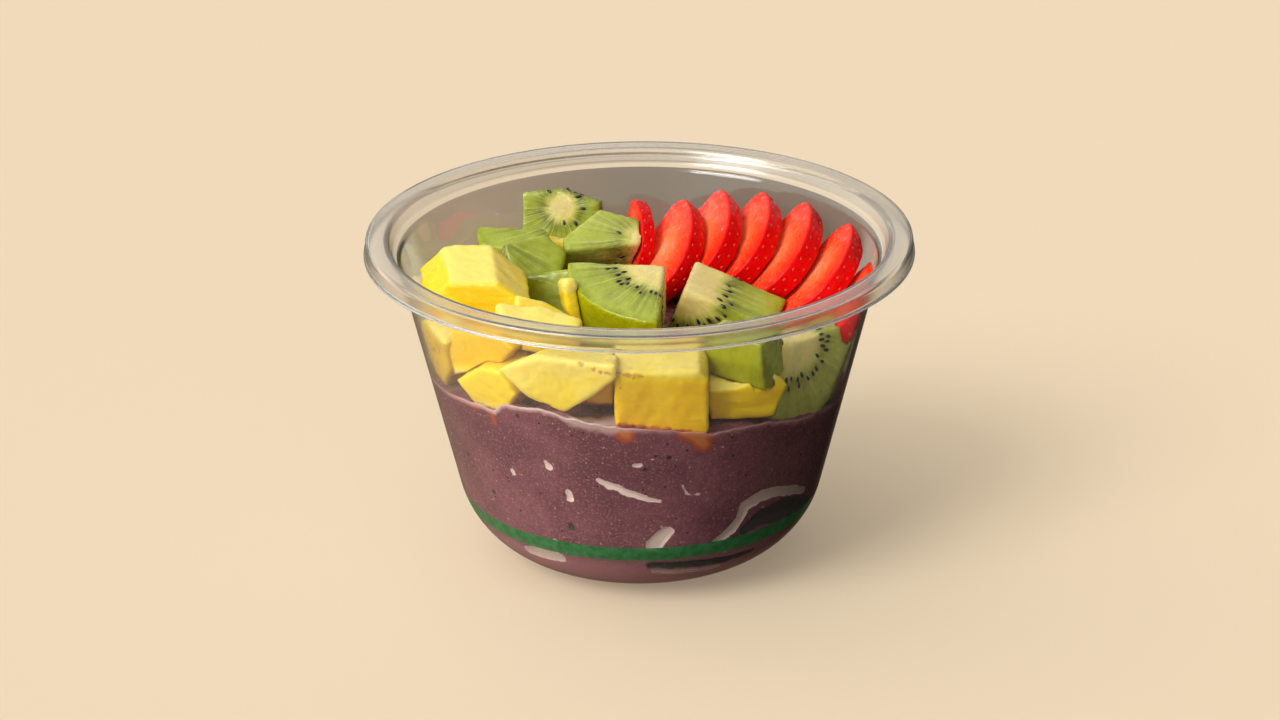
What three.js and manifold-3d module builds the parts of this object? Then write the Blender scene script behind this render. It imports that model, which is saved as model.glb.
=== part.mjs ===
// Acai bowl: a clear deli tub with acai cream in its lower half, topped with diced mango,
// quartered kiwi slices and a fan of strawberry slices.
// Millimetres, +Z up. The origin is the middle of the tub's foot, on the table.
// The strawberries lie at the back right (+X, +Y), the mango at the front and left.

import * as THREE from 'three';
import Module from 'manifold-3d';
import { mergeVertices } from 'three/addons/utils/BufferGeometryUtils.js';

const wasm = await Module();
wasm.setup();
const { Manifold, Mesh } = wasm;

const gap = 0.3;                // clearance between touching solids

// ---------- the tub ----------
const tubHeight = 72.4;
const rimRadius = 59;
const rimInnerRadius = 54;      // inner edge of the rim's flat top
const rimEdge = 0.5;            // blunting of the rim's upper edges
const skirtHeight = 3.6;        // how far the rim's outside hangs down
const lipWidth = 0.4;           // small lip at the skirt's lower edge
const lipHeight = 0.8;
const ledgeHeight = 68;         // where the wall turns out into the rim
const riseHeight = 69;          // where the rim's inner side starts to rise
const riseRadius = 52.9;
const sheet = 0.72;             // thickness of the plastic
const footRadius = 35.6;        // where the line of the wall would meet the table
const wallSlope = 0.2453;       // how much the radius grows for each mm of height
const footFillet = 22;
const pushUpRadius = 13;        // the foot's middle is pushed up inside its flat ring
const pushUpWidth = 3;
const pushUpHeight = 1.2;
const tubSides = 40;

// ---------- the acai ----------
const acaiLevel = 42.6;         // mean level on the wall
const levelWaves = [            // how the level rises and falls round the wall
  { count: 1, height: 2.3, crest: -147 },
  { count: 2, height: 2.4, crest: -102 },
  { count: 3, height: 0.5, crest: 29 },
  { count: 4, height: 1.2, crest: -36 },
];
const moundHeight = 7;          // the acai is heaped under the fruit
const moundCentre = new THREE.Vector2(4, 8);
const moundRadius = 44;
const moundEdge = 3;            // how steeply the heap falls off near the wall
const acaiRings = 4;
const acaiSides = 36;

// ---------- the fruit ----------
const kiwiRadius = 21.5;
const kiwiArcStep = 11;         // degrees between the points of a kiwi's round side
const knifeEdge = 0.5;          // width of the blunted edge of a cut face
const berryLength = 30;
const berryWidth = 21;
const berryTaper = 0.34;        // how much narrower the tip is than the shoulders
const berryDepth = 11;          // half the thickness of a whole berry
const berryCut = 1;             // where a slice's face lies in the berry, from its middle
const berrySides = 16;

const deg = THREE.MathUtils.degToRad;

// Every piece of fruit has a flat cut face. `at` is a point of that face, `faces` gives
// the azimuth and the elevation of the direction it looks in, and outlines are drawn on
// it as seen from in front, x to the right and y up. `depth` is how far the piece goes
// back from it, `taper` is how much smaller its far side is, and `shift` moves that side.

const mangoChunks = [
  { name: 'cube', at: [4.5, -43.2, 51.2], faces: [-90, -4], depth: 19,
    outline: [[-9.7, -7.6], [9.7, -7.6], [9.7, 5.0], [7.8, 7.2], [-9.7, 7.2]] },
  { name: 'plate', at: [-17.5, -41.3, 55], faces: [-108, -2], depth: 8, taper: 0.85,
    outline: [[-13, 1.5], [-6, -4.5], [1.5, -7], [9.5, -0.5], [13, 2.5], [13, 5.5], [-5, 5.5]] },
  { name: 'low_left', at: [-32.2, -31.2, 50], faces: [-125, -8], depth: 11, taper: 0.9,
    outline: [[-8.3, -0.5], [-3, -6], [3.5, -6.8], [7.5, -0.5], [3.8, 4.6], [-1.5, 4.3]] },
  { name: 'low_right', at: [22, -36.3, 49], faces: [-77, -6], depth: 13, taper: 0.9,
    outline: [[-9, -4.6], [6.5, -5.2], [9, 2.2], [6.3, 5.2], [3, 4.4], [-2, 2.6], [-9, 3]] },
  { name: 'left_wall', at: [-43, -17.5, 53], faces: [-157, -12], depth: 7, taper: 0.9,
    outline: [[-9.5, 3], [-8, -5.5], [-1.5, -10], [4, -4.5], [7, 4.5], [-4, 6]] },
  { name: 'left_middle', at: [-34.5, -27, 55], faces: [-122, 0], depth: 12, taper: 0.9,
    outline: [[-7.8, 2.2], [-5.7, -5.5], [5.9, -0.4], [9.5, 4], [5, 6.5], [-6, 5]] },
  { name: 'pale_slab', at: [-21.5, -22, 64.6], faces: [-84, 80], depth: 6.5, taper: 0.95,
    outline: [[-9, 2], [-8, -6], [0, -9], [8, -9], [9, -6], [1.5, -0.5]] },
  { name: 'big_left', at: [-33, -9.5, 60.8], faces: [-102, 9], depth: 15, shift: [-5, 5],
    outline: [[-13.5, -2.5], [-8, -7], [7.5, -7], [10.4, -1.4], [2.4, 4.2], [-8, 3.2]] },
  { name: 'middle', at: [-14, -13, 62], faces: [-80, 35], depth: 8, taper: 0.9,
    outline: [[-12.5, 2.6], [-13.5, -3], [-9, -9], [-1, -9], [0.8, -4.2], [-6.2, 0.4]] },
  { name: 'behind_plate', at: [-7.5, -32, 52], faces: [-95, 10], depth: 9, taper: 0.9,
    outline: [[-5.5, -6], [4.5, -6], [5.5, 5], [-5, 6]] },
  { name: 'sliver', at: [-13.5, -8.5, 60.5], faces: [-70, 10], depth: 6, taper: 0.85,
    outline: [[-2.6, 3.8], [-2.2, -2], [0.5, -8], [4, -8], [1.2, 1], [0.2, 4.4], [-1.6, 4.6]] },
  { name: 'inner_right', at: [17, -16.5, 52], faces: [-75, 78], depth: 12, taper: 0.92,
    outline: [[-8.5, -6.5], [7, -7], [8.5, 4], [3, 7.5], [-8, 6.5]] },
  { name: 'inner_left', at: [-40, 10, 57.5], faces: [175, 72], depth: 11, taper: 0.92,
    outline: [[-7.5, -5.5], [7, -5], [7.5, 4.5], [0, 6.5], [-7, 5]] },
  { name: 'back_wall', at: [-22, 43, 50], faces: [117, -10], depth: 12, taper: 0.9,
    outline: [[-8, -6], [7, -6.5], [9, 3], [2, 6.5], [-8, 5]] },
  { name: 'back_right', at: [25, 42, 50], faces: [60, -10], depth: 12, taper: 0.9,
    outline: [[-9, -6], [8, -6.5], [9, 2], [-1, 5.5], [-9, 3]] },
];

// A kiwi piece is cut from a round slice. Its face is the slice's cut face and `at` is the
// fruit's core. Most are sectors, whose two straight sides lie at the angles `sector`, and
// the rest are offcuts, drawn round the same core.
const kiwiPieces = [
  { name: 'front_quarter', at: [5.8, 1.2, 64.8], faces: [-90, 76], depth: 13,
    sector: [176, 265] },
  { name: 'ridge', at: [9.6, -4.2, 60.8], faces: [-103, -10], depth: 13,
    sector: [-112, -22] },
  { name: 'front_right', at: [32.2, -25.6, 62.6], faces: [-30, 4], depth: 14, radius: 14,
    taper: 0.86, shift: [0, 1.2],
    outline: [[-4.5, 0], [-14, -0.5], [-14.5, -6], [-13.2, -11.4], [-10, -11.8], [-4.5, -10]] },
  { name: 'right_wall', at: [32.4, -26.2, 57.8], faces: [-50, 4], depth: 9, radius: 19,
    sector: [-113, 0] },
  { name: 'centre', at: [1.3, 26.5, 60.9], faces: [-90, 60], depth: 12, radius: 19,
    outline: [[1, 2], [0, 5.5], [-10, 9], [-18.4, 0.6], [-17.8, -3.2], [-1.5, -1.5]] },
  { name: 'left', at: [-34.6, 18.9, 66.4], faces: [-70, 45], depth: 12, radius: 20,
    outline: [[14, -3], [4, -4], [4, -11.5], [8, -17.5], [15, -14], [18, -8]] },
  { name: 'far_left', at: [-15, 36.6, 62], faces: [-90, 70], depth: 8, radius: 22,
    outline: [[-6, -3], [-22, -2], [-20.5, -8.5], [-11.5, -11.5], [-3, -9.5]] },
  { name: 'far', at: [-17.4, 41, 63], faces: [-95, 15], depth: 9, radius: 12,
    outline: [[8.6, 1.2], [-0.4, 4], [-9, 3.2], [-9.2, -6], [-6, -11], [6, -11], [8.7, -6]] },
  { name: 'under_quarter', at: [-13, 9, 61], faces: [-100, 20], depth: 10, radius: 14,
    sector: [190, 275] },
  { name: 'inner_back', at: [-13.4, 20.5, 55.6], faces: [-120, 76], depth: 11, radius: 22,
    outline: [[4, -6], [18, -6.5], [20, 3], [10, 7], [3.5, 4]] },
  { name: 'left_wall', at: [-40.5, 25, 55.5], faces: [148, -8], depth: 8, radius: 13,
    sector: [190, 330] },
  { name: 'right_back', at: [46, 16, 57], faces: [19, -8], depth: 8, radius: 15,
    sector: [195, 305] },
];

// Strawberry slices lean on each other like fallen dominoes, in a fan that turns about
// the bowl. `tip` is the top end, `turn` the azimuth of the slice's length, `rise` its
// slope and `lean` how far its cut face is tipped over.
const sliceThickness = 4.7;
const sliceFan = [
  { name: 'fan_1', tip: [8.8, 39.5, 65.4], turn: 74, rise: 28, lean: 43, scale: 0.98 },
  { name: 'fan_2', tip: [17.2, 42.0, 66.6], turn: 73, rise: 26, lean: 42, scale: 1.0 },
  { name: 'fan_3', tip: [26.6, 40.0, 66.8], turn: 70, rise: 25, lean: 41, scale: 1.0 },
  { name: 'fan_4', tip: [36.0, 33.4, 66.8], turn: 66, rise: 24, lean: 39, scale: 1.04 },
  { name: 'fan_5', tip: [45.2, 22.0, 66.1], turn: 62, rise: 23, lean: 38, scale: 1.0 },
  { name: 'fan_6', tip: [50.2, 6.0, 63.2], turn: 60, rise: 22, lean: 40, scale: 0.88 },
  { name: 'upright', tip: [-1.8, 43, 63.8], turn: 92, rise: 34, lean: 74, scale: 0.66 },
];

// ---------- solids ----------

function solidOf(geometry) {
  const bare = geometry.clone();
  bare.deleteAttribute('normal');
  bare.deleteAttribute('uv');
  const merged = mergeVertices(bare, 1e-4);
  const corners = merged.index.array;
  const triangles = [];
  for (let i = 0; i < corners.length; i += 3) {
    const [a, b, c] = corners.slice(i, i + 3);
    if (a !== b && b !== c && c !== a) triangles.push(a, b, c);
  }
  return new Manifold(new Mesh({
    numProp: 3,
    vertProperties: Float32Array.from(merged.attributes.position.array),
    triVerts: Uint32Array.from(triangles),
  }));
}

function geometryOf(solid) {
  const mesh = solid.getMesh();
  const geometry = new THREE.BufferGeometry();
  geometry.setAttribute('position', new THREE.BufferAttribute(mesh.vertProperties, 3));
  geometry.setIndex(new THREE.BufferAttribute(mesh.triVerts, 1));
  geometry.computeVertexNormals();
  return geometry;
}

function largestPart(solid) {
  return solid.decompose().reduce((best, part) => (part.volume() > best.volume() ? part : best));
}

// Rings of equally many points, from the top ring down, closed by flat or pointed ends.
function loft(rings) {
  const count = rings[0].length;
  const positions = rings.flat().flatMap((p) => [p.x, p.y, p.z]);
  const indices = [];
  for (let ring = 0; ring + 1 < rings.length; ring += 1) {
    for (let side = 0; side < count; side += 1) {
      const next = (side + 1) % count;
      const upper = ring * count;
      const lower = upper + count;
      indices.push(upper + side, lower + side, lower + next);
      indices.push(upper + side, lower + next, upper + next);
    }
  }
  const last = (rings.length - 1) * count;
  for (let side = 1; side + 1 < count; side += 1) {
    indices.push(0, side, side + 1);
    indices.push(last, last + side + 1, last + side);
  }
  const geometry = new THREE.BufferGeometry();
  geometry.setAttribute('position', new THREE.Float32BufferAttribute(positions, 3));
  geometry.setIndex(indices);
  return geometry;
}

function revolve(points) {
  const profile = points.map(([radius, height]) => new THREE.Vector2(radius, height));
  return new THREE.LatheGeometry(profile, tubSides).rotateX(Math.PI / 2);
}

// ---------- tub ----------

const wallAngle = Math.atan(wallSlope);

function wallRadius(height) {
  return footRadius + wallSlope * height;
}

// The tub's outside below the rim, moved inwards by `inset`, from the foot up to `top`.
function wallProfile(inset, top) {
  const reach = footFillet * Math.tan((Math.PI / 2 - wallAngle) / 2);
  const centre = [footRadius - reach, footFillet];
  const radius = footFillet - inset;
  const steps = 5;
  const arc = [];
  for (let step = 0; step <= steps; step += 1) {
    const angle = -Math.PI / 2 + (step / steps) * (Math.PI / 2 - wallAngle);
    arc.push([centre[0] + radius * Math.cos(angle), centre[1] + radius * Math.sin(angle)]);
  }
  return [...arc, [wallRadius(top) - inset / Math.cos(wallAngle), top]];
}

function footProfile(inset) {
  return [
    [0, pushUpHeight + inset],
    [pushUpRadius, pushUpHeight + inset],
    [pushUpRadius + pushUpWidth, inset],
  ];
}

// The rim is a channel, open below: a rise from the wall, a flat top and a hanging skirt.
function rimProfile() {
  const skirtFoot = tubHeight - skirtHeight;
  const outside = [
    [riseRadius + sheet, riseHeight - gap],
    [rimInnerRadius + sheet, tubHeight - sheet],
    [rimRadius - sheet, tubHeight - sheet],
    [rimRadius - sheet, skirtFoot],
    [rimRadius + lipWidth, skirtFoot],
    [rimRadius + lipWidth, skirtFoot + lipHeight / 2],
    [rimRadius, skirtFoot + lipHeight],
  ];
  const top = [
    [rimRadius, tubHeight - rimEdge],
    [rimRadius - rimEdge, tubHeight],
    [rimInnerRadius + rimEdge, tubHeight],
    [rimInnerRadius, tubHeight - rimEdge],
    [riseRadius, riseHeight],
  ];
  return [...outside, ...top];
}

function makeTub() {
  const outside = [...footProfile(0), ...wallProfile(0, ledgeHeight)];
  const inside = [...footProfile(sheet), ...wallProfile(sheet, ledgeHeight)];
  return largestPart(solidOf(revolve([...outside, ...rimProfile(), ...inside.reverse()])));
}

// All that may lie in the tub, clear of its plastic.
function makeCavity() {
  const inset = sheet + gap;
  const profile = [...footProfile(inset), ...wallProfile(inset, ledgeHeight)];
  return solidOf(revolve([...profile, [0, ledgeHeight]]));
}

// ---------- acai ----------

function acaiHeight(x, y) {
  const azimuth = Math.atan2(y, x);
  const outward = Math.min(1, Math.hypot(x, y) / wallRadius(acaiLevel));
  const waves = levelWaves.reduce(
    (sum, wave) => sum + wave.height * Math.cos(wave.count * (azimuth - deg(wave.crest))), 0);
  const away = Math.hypot(x - moundCentre.x, y - moundCentre.y) / moundRadius;
  const mound = moundHeight * Math.max(0, 1 - away ** 2);
  return acaiLevel + outward ** 2 * waves + mound * Math.min(1, moundEdge * (1 - outward));
}

// A column wider than the tub with the acai's uneven top, cut out by the tub's inside.
function makeAcaiBlock() {
  const outerRadius = wallRadius(tubHeight);
  const ring = (radius, heightAt) => Array.from({ length: acaiSides }, (_, side) => {
    const angle = (2 * Math.PI * side) / acaiSides;
    const x = radius * Math.cos(angle);
    const y = radius * Math.sin(angle);
    return new THREE.Vector3(x, y, heightAt(x, y));
  });
  const rings = [];
  for (let step = 1; step <= acaiRings; step += 1) {
    rings.push(ring((wallRadius(acaiLevel) * step) / acaiRings, acaiHeight));
  }
  rings.push(ring(outerRadius, acaiHeight));
  rings.push(ring(outerRadius, () => -gap));
  return solidOf(loft(rings));
}

// ---------- fruit ----------

// Turns a shape drawn on the x-y plane so that its +Z looks towards `faces`.
function placed(geometry, at, [azimuth, elevation]) {
  return geometry
    .rotateX(deg(90 - elevation))
    .rotateZ(deg(azimuth + 90))
    .translate(...at);
}

function meanPoint(outline) {
  const sum = outline.reduce((total, p) => total.add(p), new THREE.Vector2());
  return sum.divideScalar(outline.length);
}

// A slab behind its face, its edges blunted, made larger all round by `grow`.
function slab(outline, { depth, taper = 1, shift = [0, 0] }, grow) {
  const middle = meanPoint(outline);
  const size = outline.reduce((sum, p) => sum + p.distanceTo(middle), 0) / outline.length;
  const ring = (height, inset, back) => outline.map((p) => {
    const scale = (1 - inset / size) * (1 + (taper - 1) * back);
    return new THREE.Vector3(
      middle.x + (p.x - middle.x) * scale + shift[0] * back,
      middle.y + (p.y - middle.y) * scale + shift[1] * back,
      height,
    );
  });
  const bevel = knifeEdge - grow;
  return loft([
    ring(grow, bevel, 0),
    ring(-knifeEdge, -grow, 0),
    ring(knifeEdge - depth, -grow, 1),
    ring(-depth - grow, bevel, 1),
  ]);
}

function sectorOutline({ radius = kiwiRadius, sector: [from, to] }) {
  const steps = Math.round((to - from) / kiwiArcStep);
  const corners = [[0, 0]];
  for (let step = 0; step <= steps; step += 1) {
    const angle = deg(from + ((to - from) * step) / steps);
    corners.push([radius * Math.cos(angle), radius * Math.sin(angle)]);
  }
  return corners;
}

function fruitGeometry(row, grow) {
  const corners = row.outline ?? sectorOutline(row);
  const outline = corners.map(([x, y]) => new THREE.Vector2(x, y));
  return placed(slab(outline, row, grow), row.at, row.faces);
}

// The slice's own axes: y along its length to the tip, z out of its cut face.
function sliceMatrix({ tip, turn, rise, lean }) {
  const along = new THREE.Vector3(
    Math.cos(deg(turn)) * Math.cos(deg(rise)),
    Math.sin(deg(turn)) * Math.cos(deg(rise)),
    Math.sin(deg(rise)),
  );
  const left = new THREE.Vector3(-Math.sin(deg(turn)), Math.cos(deg(turn)), 0);
  const up = along.clone().cross(left);
  const normal = up.multiplyScalar(Math.cos(deg(lean))).addScaledVector(left, Math.sin(deg(lean)));
  const across = along.clone().cross(normal);
  return new THREE.Matrix4().makeBasis(across, along, normal).setPosition(...tip);
}

function strawberryGeometry(row, grow) {
  const thickness = sliceThickness * row.scale;
  const rings = [];
  const steps = 4;
  for (let step = 0; step <= steps; step += 1) {
    const back = (thickness * step) / steps;
    const offAxis = (berryCut - back) / berryDepth;
    const inset = step === 0 || step === steps ? knifeEdge : 0;
    const size = row.scale * Math.sqrt(1 - offAxis ** 2);
    const height = step === 0 ? grow : -back - (step === steps ? grow : 0);
    const width = (berryWidth / 2) * size - inset + grow;
    const length = (berryLength / 2) * size - inset + grow;
    rings.push(Array.from({ length: berrySides }, (_, side) => {
      const angle = (2 * Math.PI * side) / berrySides;
      const shoulder = 1 - berryTaper * Math.sin(angle);
      const middle = (-berryLength / 2) * row.scale;
      return new THREE.Vector3(
        width * Math.cos(angle) * shoulder, middle + length * Math.sin(angle), height);
    }));
  }
  return loft(rings).applyMatrix4(sliceMatrix(row));
}

const fruit = [
  ...sliceFan.map((row) => ({ name: `strawberry_${row.name}`, kind: 'strawberry',
    shape: (grow) => solidOf(strawberryGeometry(row, grow)) })),
  ...kiwiPieces.map((row) => ({ name: `kiwi_${row.name}`, kind: 'kiwi',
    shape: (grow) => solidOf(fruitGeometry(row, grow)) })),
  ...mangoChunks.map((row) => ({ name: `mango_${row.name}`, kind: 'mango',
    shape: (grow) => solidOf(fruitGeometry(row, grow)) })),
];

// ---------- the bowl put together ----------

const finishes = {
  tub: { color: 0xd9d6cf, roughness: 0.12, metalness: 0, transparent: true, opacity: 0.35 },
  acai: { color: 0x6b4448, roughness: 0.5, metalness: 0 },
  mango: { color: 0xf2c42c, roughness: 0.4, metalness: 0 },
  kiwi: { color: 0x9fb536, roughness: 0.4, metalness: 0 },
  strawberry: { color: 0xd8230f, roughness: 0.35, metalness: 0 },
};

function addPiece(group, name, kind, solid) {
  const finish = new THREE.MeshStandardMaterial({ ...finishes[kind], flatShading: true });
  const piece = new THREE.Mesh(geometryOf(solid), finish);
  piece.name = name;
  group.add(piece);
}

const bowl = new THREE.Group();
addPiece(bowl, 'tub', 'tub', makeTub());

const cavity = makeCavity();
let acai = makeAcaiBlock().intersect(cavity);
const seated = [];
for (const { name, kind, shape } of fruit) {
  let piece = shape(0).intersect(cavity);
  for (const neighbour of seated) piece = piece.subtract(neighbour);
  addPiece(bowl, name, kind, largestPart(piece));
  const clearance = shape(gap);
  seated.push(clearance);
  acai = acai.subtract(clearance);
}
addPiece(bowl, 'acai', 'acai', largestPart(acai));

export default bowl;
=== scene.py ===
# Acai bowl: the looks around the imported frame. A clear deli tub holds acai cream under
# diced mango, quartered kiwi slices and a fan of strawberry slices.
# Lengths are in millimetres until a mesh, light or camera is made; +Z is up, and the
# origin is the middle of the tub's foot.

import math

import bmesh
import bpy
import numpy as np
from mathutils import Matrix, Quaternion, Vector
from mathutils.bvhtree import BVHTree


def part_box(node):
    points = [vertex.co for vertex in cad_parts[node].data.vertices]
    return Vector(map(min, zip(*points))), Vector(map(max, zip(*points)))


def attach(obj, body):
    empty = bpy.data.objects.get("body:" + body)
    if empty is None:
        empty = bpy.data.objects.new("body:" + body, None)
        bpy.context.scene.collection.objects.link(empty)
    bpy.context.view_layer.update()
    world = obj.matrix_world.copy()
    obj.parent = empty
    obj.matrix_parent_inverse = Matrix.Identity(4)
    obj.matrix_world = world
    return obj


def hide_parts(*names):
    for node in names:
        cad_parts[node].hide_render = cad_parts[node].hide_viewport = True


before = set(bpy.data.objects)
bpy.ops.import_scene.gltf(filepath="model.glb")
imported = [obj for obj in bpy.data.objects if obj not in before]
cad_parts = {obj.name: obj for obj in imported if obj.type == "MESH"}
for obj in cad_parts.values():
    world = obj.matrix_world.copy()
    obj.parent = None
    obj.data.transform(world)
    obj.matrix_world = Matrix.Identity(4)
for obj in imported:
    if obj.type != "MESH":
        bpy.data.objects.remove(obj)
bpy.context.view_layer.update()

mm = 0.001

# ---------- the tub ----------
tub_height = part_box("tub")[1].z / mm
rim_radius = 59
rim_inner_radius = 54
rise_radius = 52.9              # where the rim's inner side leaves the ledge
skirt_height = 3.6
lip_width = 0.4
lip_height = 0.8
ledge_height = 68
rise_height = 69
sheet = 0.72
foot_radius = 35.6
wall_slope = 0.2453
foot_fillet = 22
push_up_radius = 13
push_up_width = 3
push_up_height = 1.2
wall_angle = math.atan(wall_slope)
upright = math.cos(wall_angle)  # height gained along each millimetre of the wall
tub_sides = 320
line_foot = 12.4                # the green line printed round the foot
line_top = 15.9

# ---------- the acai ----------
acai_base = 42.6
acai_in_plastic = 0.15          # how far the acai reaches into the wall
mound_height = 7
mound_centre = (4, 8)
mound_radius = 44
lip_drop = 1.0                  # the film on the wall stands this far above the acai
lip_reach = 0.9
acai_level = [                  # azimuth and height of the acai's edge on the wall
    (-157, 44.4), (-142, 46), (-131, 46.4), (-128, 48.6), (-116, 49.7), (-108, 48.2),
    (-98, 47.2), (-90, 46.8), (-82, 46), (-75, 45.2), (-72, 44.2), (-63, 44.6), (-54, 44.2),
    (-43, 41.9), (-16, 39.7), (20, 42.5), (60, 45), (100, 43.5), (140, 44.6), (175, 43.2),
]
air_pockets = [                 # azimuth, height and half width along each pocket
    [(-129.3, 31.6, 0.5), (-129, 30.8, 0.6)],
    [(-117.2, 36.2, 0.5), (-116.2, 34.9, 0.8)],
    [(-111.2, 29.4, 0.6), (-110.8, 27.6, 0.9)],
    [(-91.6, 37.4, 0.5), (-90.4, 37.4, 0.6)],
    [(-87.3, 38.9, 0.3), (-86.7, 38.9, 0.3)],
    [(-101.8, 33.2, 0.6), (-99.3, 32.1, 0.9), (-96.2, 31.4, 0.8), (-93.7, 30.2, 0.9),
     (-91.2, 29.7, 0.8), (-88, 28.6, 0.6), (-84.5, 28, 0.4)],
    [(-78.3, 31.8, 0.15), (-76.7, 29.3, 0.25), (-73.1, 28.9, 0.2)],
    [(-66.5, 15.4, 0.9), (-61, 18, 1.3), (-58.4, 20.6, 1.1), (-57.5, 23.5, 1.5),
     (-52, 24.9, 1.6), (-46, 24.6, 1.3), (-38, 22.9, 1.2), (-30.2, 20.8, 0.8)],
    [(-85.9, 16.6, 1.9), (-84, 18.6, 1.7), (-82.2, 19.8, 1.5)],
    [(-130.8, 10.6, 1.2), (-125.5, 11, 1.8), (-118.6, 11, 1.5)],
    [(-119.2, 14.6, 0.8), (-118.2, 15.6, 0.6)],
    [(-148.6, 14.4, 0.4), (-147, 14.2, 0.4)],
    [(-86, 8.7, 0.5), (-78, 8.1, 0.6), (-70, 7.7, 0.5), (-62, 7.6, 0.4)],
]
juice_stains = [                # where mango juice colours the acai
    [(-96.6, 47.2, 1.4), (-93.8, 45.2, 1.7)],
    [(-78.5, 45, 1.2), (-74.4, 43.8, 2.2), (-73, 41.6, 1.6)],
    [(-132.5, 46.2, 0.5), (-132.2, 42.6, 0.3)],
    [(-152, 45, 0.4), (-143, 45.6, 0.5), (-138, 45.4, 0.5)],
]
# Painted shade: in these hollows the cream is painted near black, as shade.
dark_hollows = [                # where the acai stands well back from the plastic
    [(-55.5, 17.2, 1.6), (-50, 19, 2.4), (-42, 19, 3), (-34, 17.6, 2.6),
     (-26, 16, 2)],
    [(-87, 10.8, 1), (-80, 10.4, 1.3), (-70, 10, 1.3), (-60, 9.6, 1.2),
     (-50, 10, 0.8)],
    [(-112, 20.9, 0.5), (-111.6, 19.9, 0.8)],
]
pocket_dent = 0.4
hollow_dent = 1.8
chain_reach = 14                # how far round from its start a chain's circles are traced
# Painted light, with a thin smear: between these azimuths the acai's top near the wall is painted
# pale, as if lit.
lit_smear_turns = (-109, -96)       # azimuths between which pale cream is smeared on the top
front_turns = (-172, -8)        # azimuths between which the acai shows best
columns_front = 300
columns_back = 130
foot_rows = 16
wall_rows = 112
top_rows = 60
# Specks in the cream: how far apart, radius, share that show, strength and colour.
acai_specks = [
    (0.8, 0.2, 0.5, 0.5, (206, 158, 148)),
    (1.7, 0.26, 0.4, 0.75, (214, 168, 146)),
    (4.1, 0.42, 0.35, 0.8, (230, 204, 198)),
    (2.4, 0.36, 0.4, 1, (34, 18, 30)),
    (5.3, 0.75, 0.25, 0.85, (40, 26, 36)),
]

# ---------- the fruit ----------
grain = 0.42                    # size of the faces on the fruit
kiwi_radius = 21.5
# Each kiwi piece by its fruit's core, the direction its cut face looks in (azimuth and
# elevation), the fruit's radius, how much of that radius the pale core takes, and how many
# of its seeds show.
kiwi_cuts = {
    "kiwi_front_quarter": ((5.8, 1.2, 64.8), (-90, 76), kiwi_radius, 0.42, 1),
    "kiwi_ridge": ((9.6, -4.2, 60.8), (-103, -10), kiwi_radius, 0.34, 0.8),
    "kiwi_front_right": ((32.2, -25.6, 62.6), (-30, 4), 14, 0.20, 0.5),
    "kiwi_right_wall": ((32.4, -26.2, 57.8), (-50, 4), 19, 0.38, 1),
    "kiwi_centre": ((1.3, 26.5, 60.9), (-90, 60), 19, 0.18, 0.25),
    "kiwi_left": ((-34.6, 18.9, 66.4), (-70, 45), 20, 0.10, 0.25),
    "kiwi_far_left": ((-15, 36.6, 62), (-90, 70), 22, 0.22, 0),
    "kiwi_far": ((-17.4, 41, 63), (-95, 15), 12, 0.25, 0.35),
    "kiwi_under_quarter": ((4, 6, 52), (-100, 20), 26, 0.05, 0),
    "kiwi_inner_back": ((-13.4, 20.5, 55.6), (-120, 76), 22, 0.30, 0.4),
    "kiwi_left_wall": ((-40.5, 25, 55.5), (148, -8), 13, 0.36, 0.8),
    "kiwi_right_back": ((46, 16, 57), (19, -8), 15, 0.36, 0.8),
}
# Painted light: these kiwi pieces are painted paler, as if more light reached them.
painted_light = {"kiwi_right_wall": 0.2, "kiwi_centre": 0.08}     # how much paler these are
seed_size = (1.75, 0.8, 0.6)
seed_gap = 1.1                  # the least distance between two seeds, and to a cut
pip_size = (1, 0.56, 0.4)
pip_spacing = 3
pip_rows = (0.28, 0.72)         # the rows of pips, as shares of the slice's thickness
pip_dent = 0.22

# Painted light on the mango: the pieces in pale_below are painted pale towards the bottom, as lit
# there while their tops lie in shade; those in paler are painted paler all over, by these shares.
pale_below = ("mango_left_middle", "mango_low_left")
paler = {"mango_plate": 0.9, "mango_low_left": 0.6, "mango_pale_slab": 0.6, "mango_sliver": 0.6,
         "mango_low_right": 0.25}
mark_width = 1
brown_marks = {                 # points along each mark
    "mango_plate": [(-12.8, -43, 60.3), (-11.3, -43.5, 59.9), (-10, -43.9, 59.4),
                    (-8.3, -44.4, 59), (-6.7, -45, 58.8), (-5.2, -45, 58.6)],
    "mango_cube": [(-4.6, -43.6, 58.3), (-2.4, -43.6, 57.9), (0, -43.6, 57.1)],
    "mango_left_wall": [(-43.3, -17.9, 54.9), (-42.6, -19.2, 54.3), (-42.4, -18.9, 53)],
}

slice_thickness = 4.7
berry_length = 30
berry_width = 21
berry_taper = 0.34
berry_depth = 11
berry_cut = 1                   # where the cut lies in the berry, from its middle
berry_columns = 112
skin_rings = 14
cut_rings = 12
knife_edge = 0.35               # how far the skin's rounded edge reaches in
# Each strawberry slice by its top end, its length's azimuth and slope, how far its cut
# face is tipped over, and its scale.
slice_fan = {
    "strawberry_fan_1": ((8.8, 39.5, 65.4), 74, 28, 43, 0.98),
    "strawberry_fan_2": ((17.2, 42, 66.6), 73, 26, 42, 1),
    "strawberry_fan_3": ((26.6, 40, 66.8), 70, 25, 41, 1),
    "strawberry_fan_4": ((36, 33.4, 66.8), 66, 24, 39, 1.04),
    "strawberry_fan_5": ((45.2, 22, 66.1), 62, 23, 38, 1),
    "strawberry_fan_6": ((50.2, 6, 63.2), 60, 22, 40, 0.88),
    "strawberry_upright": ((-1.8, 43, 63.8), 92, 34, 74, 0.66),
}

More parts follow.
